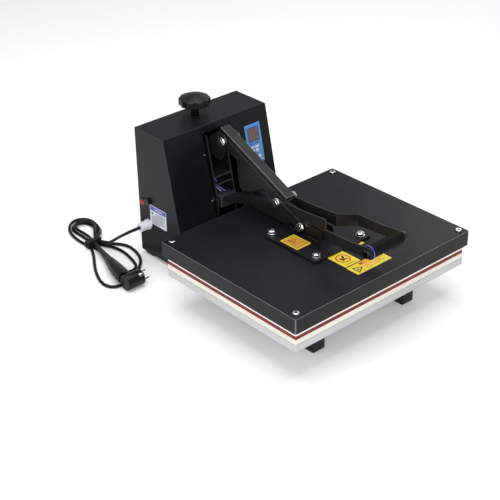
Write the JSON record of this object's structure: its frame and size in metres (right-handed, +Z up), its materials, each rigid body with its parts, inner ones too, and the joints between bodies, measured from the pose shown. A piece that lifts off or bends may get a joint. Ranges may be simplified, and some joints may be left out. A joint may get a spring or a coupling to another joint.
{
  "type": "heat press",
  "caption": "Clamshell heat press with a flat rectangular platen, toggle lever handle, leaning control housing and tied mains cord.",
  "frame": {"origin": "on the floor, under the middle of the press without its cord", "axes": "+Z up, operator stands at -Y, +X to the operator's right"},
  "size_m": [0.5756, 0.8877, 0.368],
  "materials": {
    "cover_paint": "black powder coat, satin, fine orange peel",
    "frame_paint": "black powder coat, semi-matt",
    "lever_paint": "black powder coat, satin",
    "zinc": "bright zinc plated fasteners",
    "steel": "machined steel, light oil",
    "platen_paint": "light grey baked finish, satin",
    "heater_aluminium": "cast and ground aluminium",
    "silicone_white": "cream silicone sponge, matt",
    "silicone_red": "red silicone rubber, matt",
    "insulation": "fibre insulation board",
    "black_rubber": "black rubber, matt",
    "black_plastic": "black moulded plastic",
    "knob_plastic": "black bakelite, polished",
    "white_plastic": "white nylon",
    "key_white": "white membrane key",
    "panel_blue": "blue printed overlay",
    "switch_red": "translucent red plastic"
  },
  "bodies": {
    "frame": {"base_rail_left": "frame_paint", "base_rail_right": "frame_paint", "front_foot_left": "black_rubber", "front_foot_right": "black_rubber", "rear_foot_left": "black_rubber", "rear_foot_right": "black_rubber", "cross_beam_front": "frame_paint", "cross_beam_rear": "frame_paint", "lower_platen": "platen_paint", "silicone_pad": "silicone_white", "red_mat": "silicone_red", "tower_base": "frame_paint", "tower_plate_left": "frame_paint", "tower_plate_right": "frame_paint", "tower_shelf": "frame_paint", "tower_bridge": "frame_paint", "arm_shaft": "zinc", "rocker_shaft": "zinc", "housing_shell": "cover_paint", "housing_back_cover": "cover_paint", "control_panel": "panel_blue", "controller_case": "black_plastic", "power_switch_body": "black_plastic", "fuse_holder": "black_plastic", "cord_gland": "white_plastic", "power_cord": "black_rubber", "cord_hank": "black_rubber", "mains_plug": "black_plastic"},
    "arm": {"upper_cover": "cover_paint", "heater_platen": "heater_aluminium", "insulation_board": "insulation", "mounting_bracket": "cover_paint", "mount_bolt_front_left": "zinc", "mount_bolt_front_right": "zinc", "mount_bolt_rear_left": "zinc", "mount_bolt_rear_right": "zinc", "lower_arm": "lever_paint", "arm_yoke": "steel", "lower_pivot_bolt": "zinc"},
    "link": {"link_left": "lever_paint", "link_right": "lever_paint", "toggle_bolt_left": "zinc", "toggle_bolt_right": "zinc"},
    "lever": {"lever_tube": "lever_paint", "lever_side_left": "lever_paint", "lever_side_right": "lever_paint", "toggle_pin": "zinc", "handle_bar_left": "lever_paint", "handle_bar_right": "lever_paint", "handle_grip": "black_rubber", "grip_rod": "zinc", "upper_pivot_bolt": "zinc"},
    "rocker": {"pressure_rocker": "lever_paint"},
    "nut": {"pressure_nut": "steel"},
    "screw": {"pressure_screw": "steel", "pressure_knob": "knob_plastic"},
    "key_down": {"panel_key_down": "key_white"},
    "key_up": {"panel_key_up": "key_white"},
    "key_set": {"panel_key_set": "key_white"},
    "switch_paddle": {"power_rocker": "switch_red"}
  },
  "joints": [
    {"name": "arm_hinge", "type": "hinge", "parent": "frame", "child": "arm", "pos_m": [0, 0.20725, 0.138], "axis": [-1, 0, 0], "range_deg": [0, 40]},
    {"name": "link_hinge", "type": "hinge", "parent": "arm", "child": "link", "pos_m": [0, -0.08355, 0.1816], "axis": [1, 0, 0], "range_deg": [0, 93.6]},
    {"name": "lever_hinge", "type": "hinge", "parent": "frame", "child": "lever", "pos_m": [0, 0.17575, 0.2947], "axis": [-1, 0, 0], "range_deg": [0, 69.3]},
    {"name": "rocker_tilt", "type": "hinge", "parent": "frame", "child": "rocker", "pos_m": [0, 0.23625, 0.262], "axis": [1, 0, 0], "range_deg": [-1.8, 1.8]},
    {"name": "nut_travel", "type": "slide", "parent": "frame", "child": "nut", "axis": [0, 0, 1], "range_m": [-0.0018, 0.0018]},
    {"name": "knob_turn", "type": "hinge", "parent": "frame", "child": "screw", "pos_m": [0, 0.29325, 0.352], "axis": [0, 0, 1], "range_deg": [-325, 325]},
    {"name": "key_down_press", "type": "slide", "parent": "frame", "child": "key_down", "axis": [0, 0.9784, -0.2067], "range_m": [0, 0.0012], "stiffness_N_per_m": 300, "springref_m": -0.0002},
    {"name": "key_up_press", "type": "slide", "parent": "frame", "child": "key_up", "axis": [0, 0.9784, -0.2067], "range_m": [0, 0.0012], "stiffness_N_per_m": 300, "springref_m": -0.0002},
    {"name": "key_set_press", "type": "slide", "parent": "frame", "child": "key_set", "axis": [0, 0.9784, -0.2067], "range_m": [0, 0.0012], "stiffness_N_per_m": 300, "springref_m": -0.0002},
    {"name": "switch_rock", "type": "hinge", "parent": "frame", "child": "switch_paddle", "pos_m": [-0.1475, 0.30925, 0.138], "axis": [0, 1, 0], "range_deg": [0, 12]}
  ],
  "couplings": [
    {"joint": "lever_hinge", "follows": "arm_hinge", "ratio": 1.7275},
    {"joint": "link_hinge", "follows": "arm_hinge", "ratio": 2.334},
    {"joint": "nut_travel", "follows": "rocker_tilt", "m_per_rad": 0.057},
    {"joint": "knob_turn", "follows": "rocker_tilt", "ratio": -179.07}
  ]
}
